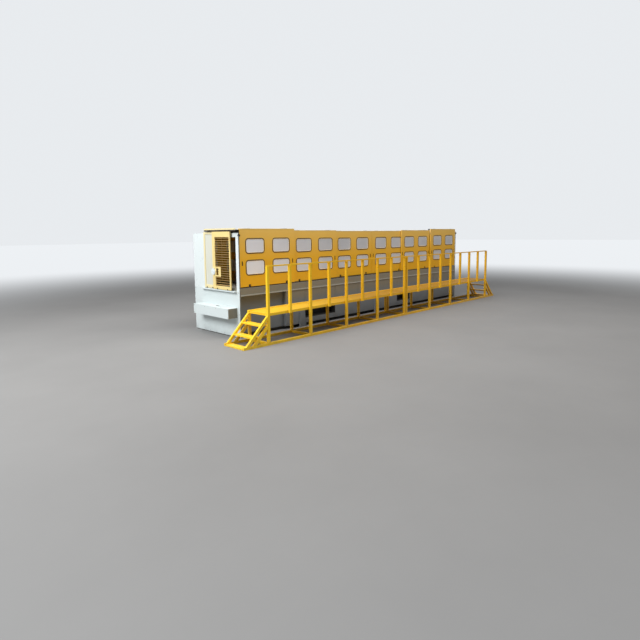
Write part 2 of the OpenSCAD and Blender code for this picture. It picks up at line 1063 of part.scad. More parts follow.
bed_core();
front_band();
ledge_rib();
front_covers();
motor_pedestals();
left_end_panel();
right_end_panel();
step_box();
left_end_frame();
right_end_frame();
right_end_sheet();
corner_knobs();
head_beam();
wheel_rails();
roof_panels();
rear_panels();
rear_windows();
drawing_blocks();
end_door_rail();
end_rail_cover();
end_door_sill();
door_1();
door_1_windows();
door_1_fittings();
door_2();
door_2_windows();
door_2_fittings();
door_3();
door_3_windows();
door_3_fittings();
door_4();
door_4_windows();
door_4_fittings();
door_5();
door_5_windows();
door_5_fittings();
door_6();
door_6_windows();
door_6_fittings();
louvre_leaf();
louvre_slats();
louvre_fittings();
glazed_leaf();
glazed_pane();
glazed_fittings();
walk_deck();
walk_edges();
walk_bearers();
walk_posts();
handrail();
back_legs();
floor_rails();
floor_ties();
left_stringers();
left_treads();
right_stringers();
right_treads();
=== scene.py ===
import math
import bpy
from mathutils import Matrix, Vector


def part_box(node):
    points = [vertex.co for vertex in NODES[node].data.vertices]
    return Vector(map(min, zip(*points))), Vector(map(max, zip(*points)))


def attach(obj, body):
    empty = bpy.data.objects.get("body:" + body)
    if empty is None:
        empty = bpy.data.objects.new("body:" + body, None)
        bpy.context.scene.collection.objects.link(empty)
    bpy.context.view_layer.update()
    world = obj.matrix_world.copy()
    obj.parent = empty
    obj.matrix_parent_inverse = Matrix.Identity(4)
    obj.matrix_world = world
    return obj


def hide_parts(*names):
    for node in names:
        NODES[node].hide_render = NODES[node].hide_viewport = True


bl_info = {
    "name": "Wire rolling line",
    "version": (1, 0, 0),
    "blender": (4, 5, 0),
    "location": "3D View > Sidebar > Rolling line",
    "description": "Finishes for a wire rolling line with sliding guard doors and a railed walkway",
    "category": "Object",
}

import bmesh
import bpy
from mathutils import Matrix, Vector

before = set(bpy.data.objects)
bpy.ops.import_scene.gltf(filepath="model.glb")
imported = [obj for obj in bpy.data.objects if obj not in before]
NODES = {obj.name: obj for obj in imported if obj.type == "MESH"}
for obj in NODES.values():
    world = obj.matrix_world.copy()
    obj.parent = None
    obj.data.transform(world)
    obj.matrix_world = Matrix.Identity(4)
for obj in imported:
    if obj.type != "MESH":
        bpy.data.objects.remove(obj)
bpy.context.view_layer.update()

DOORS = range(1, 7)


# Settings

def setting(name, description, default, **kind):
    """A setting of one number, or of three, with the unit or subtype given."""
    if isinstance(default, tuple):
        return bpy.props.FloatVectorProperty(name=name, description=description, default=default, size=3, **kind)
    return bpy.props.FloatProperty(name=name, description=description, default=default, **kind)


def colour_setting(name, description, default):
    return setting(name, description, default, subtype="COLOR")


def length_setting(name, description, default):
    return setting(name, description, default, unit="LENGTH")


def angle_setting(name, description, degrees):
    return setting(name, description, math.radians(degrees), subtype="ANGLE")


class StageSettings(bpy.types.PropertyGroup):
    eye: setting("Eye", "Place of the camera", (-12.023, -9.599, 2.45), subtype="TRANSLATION")
    yaw: angle_setting("Yaw", "Turn of the view from +X towards +Y", 44.2025)
    tilt: angle_setting("Tilt", "How far the view looks down", 6.242)
    roll: angle_setting("Roll", "Roll of the camera", -0.532)
    lens: setting("Lens", "Focal length in millimetres on a 36 mm sensor", 26.933)
    shift: setting("Shift", "Upward shift of the picture", -0.0523)
    floor_size: length_setting("Floor size", "Side of the floor", 300.0)
    floor_colour: colour_setting("Floor colour", "Colour of the floor", (0.20, 0.196, 0.193))
    fade_start: length_setting("Fade start", "Where the floor starts to fade into the backdrop", 9.0)
    fade_end: length_setting("Fade end", "Where the floor has faded into the backdrop", 27.0)
    sky_colour: colour_setting("Surround colour", "Colour of the light all round", (0.94, 0.97, 1.0))
    surround: setting("Surround", "Strength of the light all round", 0.36)
    backdrop: setting("Backdrop", "Brightness of the plain backdrop", 0.86)
    window_power: setting("Window light", "Power of the light at the left end", 1650.0, unit="POWER")
    roof_power: setting("Roof light", "Power of the light overhead", 2300.0, unit="POWER")


class PaintSettings(bpy.types.PropertyGroup):
    ochre: colour_setting("Door ochre", "Paint of the doors, low down", (0.78, 0.41, 0.010))
    ochre_top: colour_setting("Door ochre, high up", "Paler paint near the doors' top", (0.80, 0.50, 0.11))
    yellow: colour_setting("Walkway yellow", "Paint of the walkway", (0.90, 0.575, 0.02))
    # painted shade: the darker yellow further along stands for light that falls off along the line, not for
    # another paint
    yellow_far_shade: colour_setting(
        "Walkway yellow, far", "Paint of the walkway further along", (0.74, 0.40, 0.012))
    deck: colour_setting("Deck yellow", "Paint of the deck plates at the left end", (0.74, 0.44, 0.012))
    # painted shade: the darker deck yellow further along stands for light that falls off along the line, not for
    # another paint
    deck_far_shade: colour_setting(
        "Deck yellow, far", "Paint of the deck plates further along", (0.38, 0.19, 0.008))
    bed: colour_setting("Bed grey", "Paint of the bed and its covers", (0.205, 0.195, 0.16))
    # painted shade: the cooler grey low down stands for the shade under the deck, not for another paint
    bed_low_shade: colour_setting(
        "Bed grey, low down", "Cooler paint of the covers near the floor", (0.185, 0.20, 0.21))
    pale: colour_setting("Pale grey", "Paint of the end panels and the step box", (0.62, 0.68, 0.68))
    white: colour_setting("White", "Paint of the end frames", (0.68, 0.73, 0.73))
    rib: colour_setting("Rib grey", "Paint of the rib along the front", (0.33, 0.34, 0.315))
    # painted shade: the edge grey stands for the shade on the end frames' white front edges
    edge: colour_setting("Edge grey", "Paint of the strips along the ends' edges", (0.15, 0.155, 0.145))
    # painted highlight: the cream is the leaves' yellow paint washed pale by the strong light at the left end; the
    # door strips take it for the lit top edges
    cream: colour_setting("Leaf cream", "Paint of the glazed leaf and the door strips", (0.76, 0.66, 0.38))
    # painted highlight in part: the leaf yellow is paler than the doors' ochre because of the strong light at the
    # left end
    leaf: colour_setting("Leaf yellow", "Paint of the louvred leaf", (0.78, 0.61, 0.25))
    slat: colour_setting("Slat", "Paint of the louvre slats", (0.70, 0.46, 0.16))
    dark: colour_setting("Dark steel", "Wheels, hooks and rails", (0.045, 0.036, 0.028))


class WindowSettings(bpy.types.PropertyGroup):
    width: length_setting("Width", "Width of a window's cut-out", 0.55)
    height: length_setting("Height", "Height of a window's cut-out", 0.34)
    radius: length_setting("Radius", "Radius of a window's corners", 0.07)
    lip: length_setting("Lip", "Width of the gasket's lip on each side", 0.017)
    proud: length_setting("Proud", "How far the gasket stands proud", 0.004)
    neck: length_setting("Neck", "Depth of the inner ring through the sheet", 0.012)
    sunk: length_setting("Sunk", "How far the pane's face lies behind the gasket's", 0.004)
    sheet: length_setting("Sheet", "Thickness of a pane", 0.005)
    rubber: colour_setting("Rubber", "Colour of the gaskets", (0.07, 0.042, 0.02))
    bead: colour_setting("Bead", "Colour of the pale inner ring", (0.72, 0.60, 0.38))
    # painted light: the panes' pale colour at the left end and darker colour further along stand for how the light
    # falls on them
    pane: colour_setting("Pane", "Colour of the panes at the left end", (0.80, 0.80, 0.85))
    pane_far_shade: colour_setting("Pane, far", "Colour of the panes further along", (0.47, 0.475, 0.50))
    end_pane: colour_setting("End pane", "Colour of the pane in the end leaf", (0.64, 0.64, 0.55))


class FixingSettings(bpy.types.PropertyGroup):
    screw_radius: length_setting("Screw radius", "Radius of the cover screws' heads", 0.009)
    screw_height: length_setting("Screw height", "Height of the cover screws' heads", 0.003)
    screw_inset: length_setting("Screw inset", "Distance of the screws from a cover's edge", 0.035)
    strip_height: length_setting("Strip height", "Height of the strip along a door's top", 0.012)
    disc_radius: length_setting("Lock radius", "Radius of the disc on the louvred leaf", 0.08)
    weld: length_setting("Weld", "Width of the weld beads on the walkway", 0.006)
    weld_length: length_setting("Weld length", "Length of the weld beads", 0.056)


def settings(kind):
    return getattr(bpy.context.scene, "line_" + kind)


# Shader groups

def new_group(name, inputs, outputs):
    """A node group with the given named inputs (name, kind, default) and outputs (name, kind)."""
    tree = bpy.data.node_groups.new(name, "ShaderNodeTree")
    for label, kind, default in inputs:
        socket = tree.interface.new_socket(name=label, in_out="INPUT", socket_type="NodeSocket" + kind)
        if default is not None:
            socket.default_value = default
    for label, kind in outputs:
        tree.interface.new_socket(name=label, in_out="OUTPUT", socket_type="NodeSocket" + kind)
    return tree, tree.nodes.new("NodeGroupInput"), tree.nodes.new("NodeGroupOutput")


def add_node(tree, kind, **values):
    node = tree.nodes.new("ShaderNode" + kind)
    for key, value in values.items():
        setattr(node, key, value)
    return node


def put(tree, socket, value):
    """Links another node's output to the socket, or sets a number or a colour on it."""
    if hasattr(value, "is_linked"):
        tree.links.new(value, socket)
    elif hasattr(value, "__len__"):
        socket.default_value = (*value[:3], 1.0)
    else:
        socket.default_value = value


def put_all(tree, node, **values):
    """Puts the values on the node's inputs, whose names have underscores here instead of spaces."""
    for label, value in values.items():
        put(tree, node.inputs[label.replace("_", " ")], value)


def math_node(tree, operation, *operands):
    node = add_node(tree, "Math", operation=operation)
    for socket, value in zip(node.inputs, operands):
        put(tree, socket, value)
    return node.outputs[0]


def spread(tree, value, low, high, new_low=0.0, new_high=1.0):
    """Maps low..high to new_low..new_high, clamped."""
    node = add_node(tree, "MapRange")
    put_all(tree, node, Value=value, From_Min=low, From_Max=high, To_Min=new_low, To_Max=new_high)
    return node.outputs[0]


def mix_colour(tree, factor, a, b, blend="MIX"):
    node = add_node(tree, "Mix", data_type="RGBA", blend_type=blend)
    for index, value in ((0, factor), (6, a), (7, b)):
        put(tree, node.inputs[index], value)
    return node.outputs[2]


def object_place(tree):
    """Object coordinates, and their height in metres above the floor."""
    coord = add_node(tree, "TexCoord")
    split = add_node(tree, "SeparateXYZ")
    tree.links.new(coord.outputs["Object"], split.inputs[0])
    return coord.outputs["Object"], split


def noise(tree, place, scale, detail=4.0, roughness=0.55):
    node = add_node(tree, "TexNoise")
    put_all(tree, node, Vector=place, Scale=scale, Detail=detail, Roughness=roughness)
    return node.outputs["Fac"]


def make_paint_group():
    """Sprayed paint: faint clouds in the colour, orange peel, dust that settles on top, grime near the floor."""
    tree, inner, outer = new_group(
        "Sprayed paint",
        [("Colour", "Color", (0.5, 0.5, 0.5, 1)), ("Clouds", "Float", 0.06), ("Dust", "Float", 0.1),
         ("Dust colour", "Color", (0.5, 0.48, 0.44, 1)), ("Grime", "Float", 0.2), ("Gloss", "Float", 0.35)],
        [("Colour", "Color"), ("Roughness", "Float"), ("Height", "Float")])
    link = tree.links.new
    place, split = object_place(tree)
    clouds = noise(tree, place, 1.7, 5.0)
    shade = math_node(tree, "MULTIPLY_ADD", math_node(tree, "SUBTRACT", clouds, 0.5), inner.outputs["Clouds"], 1.0)
    light = mix_colour(tree, 1.0, inner.outputs["Colour"], (1, 1, 1), "MULTIPLY")
    combine = add_node(tree, "CombineColor")
    for channel in ("Red", "Green", "Blue"):
        link(shade, combine.inputs[channel])
    link(combine.outputs[0], light.node.inputs[7])
    geometry = add_node(tree, "NewGeometry")
    normal = add_node(tree, "SeparateXYZ")
    link(geometry.outputs["Normal"], normal.inputs[0])
    upward = spread(tree, normal.outputs["Z"], 0.3, 1.0)
    patches = spread(tree, noise(tree, place, 6.0, 6.0, 0.65), 0.35, 0.7)
    dust = math_node(tree, "MULTIPLY", math_node(tree, "MULTIPLY", upward, patches), inner.outputs["Dust"])
    dusty = mix_colour(tree, dust, light, inner.outputs["Dust colour"])
    low = spread(tree, split.outputs["Z"], 0.0, 0.35, 1.0, 0.0)
    smear = spread(tree, noise(tree, place, 3.1, 7.0, 0.7), 0.4, 0.75)
    grime = math_node(tree, "MULTIPLY", math_node(tree, "MULTIPLY", low, smear), inner.outputs["Grime"])
    link(mix_colour(tree, grime, dusty, (0.10, 0.09, 0.075)), outer.inputs["Colour"])
    scuffs = spread(tree, noise(tree, place, 9.0, 8.0, 0.7), 0.3, 0.8, -0.06, 0.12)
    rough = math_node(tree, "ADD", math_node(tree, "ADD", inner.outputs["Gloss"], scuffs), dust)
    link(rough, outer.inputs["Roughness"])
    link(noise(tree, place, 420.0, 2.0, 0.5), outer.inputs["Height"])
    return tree


def make_edge_group():
    """A mask of the outer edges, where paint is thin and rubbed."""
    tree, inner, outer = new_group("Rubbed edges", [("Width", "Float", 0.004)], [("Mask", "Float")])
    bevel = add_node(tree, "Bevel", samples=4)
    tree.links.new(inner.outputs["Width"], bevel.inputs["Radius"])
    geometry = add_node(tree, "NewGeometry")
    dot = add_node(tree, "VectorMath", operation="DOT_PRODUCT")
    tree.links.new(bevel.outputs[0], dot.inputs[0])
    tree.links.new(geometry.outputs["Normal"], dot.inputs[1])
    place, _ = object_place(tree)
    turned = spread(tree, dot.outputs["Value"], 0.995, 0.90)
    broken = spread(tree, noise(tree, place, 14.0, 6.0, 0.7), 0.42, 0.62)
    tree.links.new(math_node(tree, "MULTIPLY", turned, broken), outer.inputs["Mask"])
    return tree


GROUPS = {}


def group(name):
    if name not in GROUPS:
        GROUPS[name] = {"paint": make_paint_group, "edges": make_edge_group}[name]()
    return GROUPS[name]


def new_material(name):
    material = bpy.data.materials.new(name)
    material.use_nodes = True
    tree = material.node_tree
    shader = tree.nodes["Principled BSDF"]
    return material, tree, shader


def use_group(tree, name, **values):
    node = tree.nodes.new("ShaderNodeGroup")
    node.node_tree = group(name)
    put_all(tree, node, **values)
    return node


def seam_mask(tree, start, pitch, level):
    """Narrow upright seams every pitch along X from start, and a level one at the given height."""
    deep, edge = 0.002, 0.0045
    _, split = object_place(tree)
    turns = math_node(tree, "DIVIDE", math_node(tree, "SUBTRACT", split.outputs["X"], start), pitch)
    off = math_node(tree, "ABSOLUTE", math_node(tree, "SUBTRACT", math_node(tree, "FRACT", turns), 0.5))
    upright = spread(tree, off, 0.5 - edge / pitch, 0.5 - deep / pitch)
    above = math_node(tree, "ABSOLUTE", math_node(tree, "SUBTRACT", split.outputs["Z"], level))
    return math_node(tree, "MAXIMUM", upright, spread(tree, above, deep, edge, 1.0, 0.0))


def paint_colour(value):
    """A colour, given by itself or by the name of a paint setting."""
    return tuple(getattr(settings("paint"), value)) if isinstance(value, str) else value


def shift_tone(tree, colour, axis, low, high, amount, tone):
    """The colour, mixed with a tone by the amount between two places on an axis."""
    _, split = object_place(tree)
    factor = spread(tree, split.outputs[axis], low, high, 0.0, amount)
    return mix_colour(tree, factor, colour, paint_colour(tone))


def add_bump(tree, height, strength, distance, **values):
    bump = add_node(tree, "Bump", **values)
    put_all(tree, bump, Strength=strength, Distance=distance, Height=height)
    return bump


def painted(name, colour, surface, wear=(0.5, 0.48, 0.44), rub=0.35, peel=0.02, specular=0.4, seams=None,
            tone=None):
    """A painted metal finish from the paint group, with rubbed edges, and seams where their places are given.

    The colour is a paint setting's name or a function that makes it in the material's tree. The surface is the
    paint's clouds, dust, grime and gloss. A tone is mixed in as shift_tone describes.
    """
    material, tree, shader = new_material(name)
    colour = colour(tree) if callable(colour) else paint_colour(colour)
    if tone:
        colour = shift_tone(tree, colour, *tone)
    clouds, dust, grime, gloss = surface
    rub_width, peel_depth, groove_depth, groove_dirt = 0.004, 0.002, 0.003, 0.8
    paint = use_group(tree, "paint", Colour=colour, Clouds=clouds, Dust=dust, Grime=grime, Gloss=gloss)
    edges = use_group(tree, "edges", Width=rub_width)
    rubbed = math_node(tree, "MULTIPLY", edges.outputs["Mask"], rub)
    finish = mix_colour(tree, rubbed, paint.outputs["Colour"], wear)
    bump = add_bump(tree, paint.outputs["Height"], peel, peel_depth)
    if seams:
        mask = seam_mask(tree, *seams)
        finish = mix_colour(tree, math_node(tree, "MULTIPLY", mask, groove_dirt), finish, (0.03, 0.028, 0.024))
        groove = add_bump(tree, mask, 0.5, groove_depth, invert=True)
        tree.links.new(bump.outputs[0], groove.inputs["Normal"])
        bump = groove
    put_all(tree, shader, Base_Color=finish, Roughness=paint.outputs["Roughness"], Normal=bump.outputs[0],
            Specular_IOR_Level=specular)
    return material


def door_colour(tree):
    """Ochre that is paler towards the doors' top, and a little darker along the line; that darkening is painted
    shade for light that falls off along the line.
    """
    _, split = object_place(tree)
    high = spread(tree, split.outputs["Z"], 1.75, 2.60)
    fade = mix_colour(tree, high, paint_colour("ochre"), paint_colour("ochre_top"))
    # painted shade: up to a tenth towards black from X -4.0 to -0.5, for light falling off along the line
    return shift_tone(tree, fade, "X", -4.0, -0.5, 0.10, (0, 0, 0))


def patchy(name, pattern, limits, colours, roughness, metallic=0.0):
    """A finish that changes from the first colour and roughness to the second in patches.

    The pattern is the noise's scale, detail and roughness, and the limits say which of its values count."""
    material, tree, shader = new_material(name)
    place, _ = object_place(tree)
    worn = spread(tree, noise(tree, place, *pattern), *limits)
    put_all(tree, shader, Base_Color=mix_colour(tree, worn, *colours),
            Roughness=spread(tree, worn, 0.0, 1.0, *roughness), Metallic=metallic)
    return material


def rubber(name, base):
    return patchy(name, (30.0, 5.0), (0.35, 0.7), (base, tuple(1.8 * c for c in base)), (0.45, 0.7))


def dark_steel():
    return patchy("dark_steel", (18.0, 6.0, 0.7), (0.45, 0.75), (paint_colour("dark"), (0.14, 0.11, 0.085)),
                  (0.38, 0.6), metallic=0.4)


def bay_lining():
    """Nearly black sheet, oily in patches, that stands in for the shade inside the motor bays."""
    return patchy("bay_lining", (5.0, 6.0, 0.65), (0.35, 0.7),
                  ((0.012, 0.011, 0.010), (0.022, 0.021, 0.020)), (0.45, 0.8))


def zinc():
    return patchy("zinc", (40.0, 5.0, 0.7), (0.3, 0.7), ((0.42, 0.42, 0.41), (0.26, 0.25, 0.23)),
                  (0.3, 0.5), metallic=0.8)


def pane(name, near, far):
    """A clear sheet in front of a pale inner face, a little cloudy, with painted light: paler near the left end
    and darker along the line and upwards.
    """
    material, tree, shader = new_material(name)
    place, split = object_place(tree)
    # painted light: the panes darken along the line and upwards
    along = spread(tree, split.outputs["X"], -4.9, -2.2)
    upward = spread(tree, split.outputs["Z"], 1.5, 2.4, 0.0, 0.25)
    base = mix_colour(tree, math_node(tree, "ADD", math_node(tree, "MULTIPLY", along, 0.8), upward), near, far)
    smears = spread(tree, noise(tree, place, 2.2, 5.0, 0.6), 0.35, 0.7, 0.0, 0.12)
    put_all(tree, shader, Base_Color=mix_colour(tree, smears, base, (0.9, 0.9, 0.92)),
            Roughness=spread(tree, smears, 0.0, 1.0, 0.10, 0.2), Coat_Weight=0.5, Coat_Roughness=0.04)
    return material


def turned_iron():
    material, tree, shader = new_material("turned_iron")
    place, _ = object_place(tree)
    stretch = add_node(tree, "Mapping")
    stretch.inputs["Scale"].default_value = (1.0, 1.0, 90.0)
    tree.links.new(place, stretch.inputs["Vector"])
    rings = noise(tree, stretch.outputs[0], 3.0, 4.0)
    put_all(tree, shader, Base_Color=mix_colour(tree, rings, (0.30, 0.31, 0.32), (0.48, 0.49, 0.50)),
            Roughness=spread(tree, rings, 0.3, 0.7, 0.25, 0.42), Metallic=0.9)
    return material


def floor_finish():
    """Plain floor that fades into the backdrop far from the line, for the camera alone."""
    material, tree, shader = new_material("hall_floor")
    place, _ = object_place(tree)
    clouds = spread(tree, noise(tree, place, 0.35, 6.0, 0.6), 0.3, 0.7)
    stage = settings("stage")
    base = tuple(stage.floor_colour)
    near = mix_colour(tree, clouds, base, tuple(1.12 * c for c in base))
    distance = add_node(tree, "VectorMath", operation="LENGTH")
    tree.links.new(place, distance.inputs[0])
    away = spread(tree, distance.outputs["Value"], stage.fade_start, stage.fade_end)
    away.node.interpolation_type = "SMOOTHSTEP"
    glow = tuple(stage.backdrop * c for c in stage.sky_colour)
    path = add_node(tree, "LightPath")
    seen = math_node(tree, "MULTIPLY", away, path.outputs["Is Camera Ray"])
    put_all(tree, shader, Base_Color=mix_colour(tree, away, near, (0, 0, 0)), Roughness=0.62,
            Specular_IOR_Level=0.3, Emission_Color=mix_colour(tree, seen, (0, 0, 0), glow), Emission_Strength=1.0)
    return material


# Modelling helpers

STRAIGHT = 0.9  # the least part of a face's normal along the direction that it is picked by
HAIR = 0.0005  # places this near to each other count as one, in metres
ROUNDED = math.radians(40)  # edges that bend more than this are rounded
SMOOTH = math.radians(35)  # edges that bend less than this are shaded smooth
HALF_TURN = Matrix.Rotation(math.pi, 4, "Z")


def deselect():
    if bpy.context.mode != "OBJECT":
        bpy.ops.object.mode_set(mode="OBJECT")
    for obj in bpy.context.selected_objects:
        obj.select_set(False)


def begin(name):
    """Names the primitive that was just added and opens it for editing."""
    obj = bpy.context.object
    obj.name = name
    obj.data.name = name
    bpy.ops.object.mode_set(mode="EDIT")
    return obj


def cube(name, size, middle=(0, 0, 0)):
    """A block of the given size around its middle, open for editing."""
    deselect()
    bpy.ops.mesh.primitive_cube_add(size=1.0, location=(0, 0, 0))
    obj = begin(name)
    select_all()
    bpy.ops.transform.resize(value=size)
    shift(*middle)
    return obj


def cylinder(name, vertices, radius, depth, location, rotation):
    """A cylinder turned into its place, open for editing."""
    deselect()
    bpy.ops.mesh.primitive_cylinder_add(vertices=vertices, radius=radius, depth=depth, location=location,
                                        rotation=rotation)
    bpy.ops.object.transform_apply(location=True, rotation=True, scale=True)
    return begin(name)


def pick(obj, mode, kind, test):
    bpy.ops.mesh.select_mode(type=mode)
    bpy.ops.mesh.select_all(action="DESELECT")
    mesh = bmesh.from_edit_mesh(obj.data)
    for item in getattr(mesh, kind):
        if test(item):
            item.select_set(True)
    bmesh.update_edit_mesh(obj.data)


def pick_faces(obj, direction):
    """Selects the faces that point in the direction."""
    pick(obj, "FACE", "faces", lambda face: face.normal.dot(direction) > STRAIGHT)


def pick_edges(obj, test):
    """Selects the edges whose middles pass the test."""
    pick(obj, "EDGE", "edges", lambda edge: test((edge.verts[0].co + edge.verts[1].co) / 2))


def select_all():
    bpy.ops.mesh.select_all(action="SELECT")


def shift(x=0.0, y=0.0, z=0.0):
    bpy.ops.transform.translate(value=(x, y, z))


def extrude(x=0.0, y=0.0, z=0.0):
    bpy.ops.mesh.extrude_region_move(TRANSFORM_OT_translate={"value": (x, y, z)})


def inset_face(width):
    bpy.ops.mesh.inset(thickness=width, depth=0)


def round_edges(radius, segments):
    bpy.ops.mesh.bevel(offset=radius, segments=segments, affect="EDGES")


def rounded_strip(name, size, middle, edges, radius, segments, material):
    """A strip with the edges rounded whose middles pass the test."""
    strip = cube(name, size, middle)
    pick_edges(strip, edges)
    round_edges(radius, segments)
    return close_piece(strip, material)


def close_piece(obj, material, bevel=0.0, segments=2, smooth=True):
    """Leaves edit mode, rounds the edges, puts the place into the mesh and sets the finish."""
    select_all()
    bpy.ops.mesh.normals_make_consistent(inside=False)
    bpy.ops.object.mode_set(mode="OBJECT")
    if bevel:
        rounding = obj.modifiers.new("Rounding", "BEVEL")
        rounding.width = bevel
        rounding.segments = segments
        rounding.limit_method = "ANGLE"
        rounding.angle_limit = ROUNDED
        bpy.ops.object.modifier_apply(modifier=rounding.name)
    bpy.ops.object.transform_apply(location=True, rotation=True, scale=True)
    if smooth:
        bpy.ops.object.shade_smooth_by_angle(angle=SMOOTH)
    obj.data.materials.clear()
    obj.data.materials.append(material)
    return obj


def copies(source, places, name):
    """Copies of a piece, each with its own mesh moved by one of the places, joined as one piece."""
    made = []
    for place in places:
        twin = source.copy()
        twin.data = source.data.copy()
        move = place if isinstance(place, Matrix) else Matrix.Translation(place)
        twin.data.transform(move)
        bpy.context.collection.objects.link(twin)
        made.append(twin)
    deselect()
    for twin in made:
        twin.select_set(True)
    bpy.context.view_layer.objects.active = made[0]
    if len(made) > 1:
        bpy.ops.object.join()
    made[0].name = name
    made[0].data.name = name
    return made[0]


def discard(obj):
    mesh = obj.data
    bpy.data.objects.remove(obj)
    bpy.data.meshes.remove(mesh)


def upright_plate(name, width, height, radius, steps=7):
    """A flat face with round corners in the XZ plane at Y 0, facing -Y, left in edit mode."""
    deselect()
    bpy.ops.mesh.primitive_plane_add(size=1.0, location=(0, 0, 0))
    obj = begin(name)
    select_all()
    bpy.ops.transform.resize(value=(width, height, 1))
    bpy.ops.mesh.bevel(offset=radius, offset_type="OFFSET", segments=steps, affect="VERTICES")
    bpy.ops.object.mode_set(mode="OBJECT")
    obj.data.transform(Matrix.Rotation(math.radians(90), 4, "X"))
    bpy.ops.object.mode_set(mode="EDIT")
    return obj


def solids(node):
    """The boxes of a node's separate solids, from left to right and upwards."""
    mesh = NODES[node].data
    corners = [tuple(round(c, 5) for c in vertex.co) for vertex in mesh.vertices]
    parent = {corner: corner for corner in corners}

    def root(corner):
        while parent[corner] != corner:
            parent[corner] = parent[parent[corner]]
            corner = parent[corner]
        return corner

    for face in mesh.polygons:
        first = root(corners[face.vertices[0]])
        for vertex in face.vertices:
            parent[root(corners[vertex])] = first
    shells = {}
    for corner, vertex in zip(corners, mesh.vertices):
        shells.setdefault(root(corner), []).append(vertex.co)
    boxes = [[Vector([limit(point[axis] for point in shell) for axis in range(3)]) for limit in (min, max)]
             for shell in shells.values()]
    return sorted(boxes, key=lambda box: (round(box[0].x, 3), round(box[0].y, 3), box[0].z))


# Windows

def deepen(obj, front, depth, material, bevel, segments):
    """Gives a flat upright piece its depth behind the front plane and closes it."""
    select_all()
    extrude(y=depth)
    select_all()
    shift(y=front)
    return close_piece(obj, material, bevel=bevel, segments=segments)


def make_ring(name, outer, inner, front, back, material):
    """A rubber ring along a window's cut-out, from outer to inner beyond its edge, from front to back in Y."""
    w = settings("window")
    obj = upright_plate(name, w.width + 2 * outer, w.height + 2 * outer, w.radius + outer)
    select_all()
    inset_face(outer - inner)
    mesh = bmesh.from_edit_mesh(obj.data)
    middle = max(mesh.faces, key=lambda face: len(face.verts))
    bpy.ops.mesh.select_all(action="DESELECT")
    middle.select_set(True)
    bmesh.update_edit_mesh(obj.data)
    bpy.ops.mesh.delete(type="ONLY_FACE")
    return deepen(obj, front, back - front, material, 0.0015, 2)


def make_pane(material):
    """One window pane, a little smaller than the gasket's inner edge, around the origin."""
    w = settings("window")
    obj = upright_plate("pane", w.width - 2 * w.lip, w.height - 2 * w.lip, w.radius - w.lip)
    return deepen(obj, w.sunk, w.sheet, material, 0.001, 1)


def window_middles(node, outer_y):
    """The middles of a node's windows, at the outer face of their gaskets."""
    wide = settings("window").width
    return [Vector(((low.x + high.x) / 2, outer_y, (low.z + high.z) / 2))
            for low, high in solids(node) if high.x - low.x > wide]


class LINE_OT_windows(bpy.types.Operator):
    """Rubber gaskets, inner rings and panes of the doors and the rear panels"""
    bl_idname = "line.windows"
    bl_label = "Windows"

    def execute(self, context):
        w = settings("window")
        gasket, bead = rubber("gasket_rubber", tuple(w.rubber)), rubber("bead_rubber", tuple(w.bead))
        seam, set_back = -0.5 * w.lip, 0.0015
        parts = {
            "gaskets": make_ring("gasket", w.lip, seam, 0, w.proud, gasket),
            "beads": make_ring("bead", seam, -w.lip, set_back, w.neck, bead),
            "panes": make_pane(pane("window_pane", tuple(w.pane), tuple(w.pane_far_shade))),
        }
        for n in DOORS:
            node = f"door_{n}_windows"
            middles = window_middles(node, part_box(node)[0].y)
            self.fit(parts, [Matrix.Translation(m) for m in middles], f"door_{n}", f"sliding_door_{n}", node)
        middles = window_middles("rear_windows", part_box("rear_windows")[1].y)
        self.fit(parts, [Matrix.Translation(m) @ HALF_TURN for m in middles], "rear", "frame", "rear_windows")
        for source in parts.values():
            discard(source)
        return {"FINISHED"}

    def fit(self, parts, places, prefix, body, node):
        if not places:
            raise RuntimeError(f"no windows found in {node}")
        for label, source in parts.items():
            piece = copies(source, places, f"{prefix}_{label}")
            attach(piece, body)
            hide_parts(node)


# Trim and fixings

class LINE_OT_door_highlight_strips(bpy.types.Operator):
    """Rounded cream strips along the doors' top edges, a painted highlight for the lit top edges"""
    bl_idname = "line.door_strips"
    bl_label = "Door strips"

    def execute(self, context):
        tall = settings("fixing").strip_height
        play, thick, rounding, proud, below_top = 0.002, 0.004, 0.003, 0.001, 0.0005
        low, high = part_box("door_1")
        # painted highlight: the cream strips stand for the light along the doors' top edges
        strip = rounded_strip("strip", (high.x - low.x - play, thick, tall), (0, 0, 0),
                              lambda middle: middle.y < 0 and abs(middle.x) < HAIR, rounding, 3,
                              painted("strip_paint", "cream", (0.05, 0.1, 0.0, 0.3)))
        for n in DOORS:
            low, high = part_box(f"door_{n}")
            place = Vector(((low.x + high.x) / 2, low.y - proud, high.z - tall / 2 - below_top))
            piece = copies(strip, [place], f"door_{n}_top_strip")
            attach(piece, f"sliding_door_{n}")
        discard(strip)
        return {"FINISHED"}


def make_screw(material):
    """A screw head with a socket, facing -Y, its seat at Y 0."""
    f = settings("fixing")
    rim, dome = 0.25 * f.screw_radius, 0.0004
    obj = cylinder("screw", 8, f.screw_radius, f.screw_height, (0, -f.screw_height / 2, 0),
                   (math.radians(90), 0, 0))
    pick_faces(obj, (0, -1, 0))
    inset_face(rim)
    shift(y=-dome)
    inset_face(rim)
    extrude(y=0.6 * f.screw_height)
    return close_piece(obj, material)


def rim_places(width, height, inset, longest):
    """Places along a cover's rim, from its middle: the corners, and more between where they lie far apart."""
    across, up = width / 2 - inset, height / 2 - inset
    steps_x, steps_y = max(1, math.ceil(2 * across / longest)), max(1, math.ceil(2 * up / longest))
    places = {(round(-across + 2 * across * i / steps_x, 4), round(side * up, 4))
              for i in range(steps_x + 1) for side in (-1, 1)}
    places |= {(round(side * across, 4), round(-up + 2 * up * j / steps_y, 4))
               for j in range(steps_y + 1) for side in (-1, 1)}
    return sorted(places)


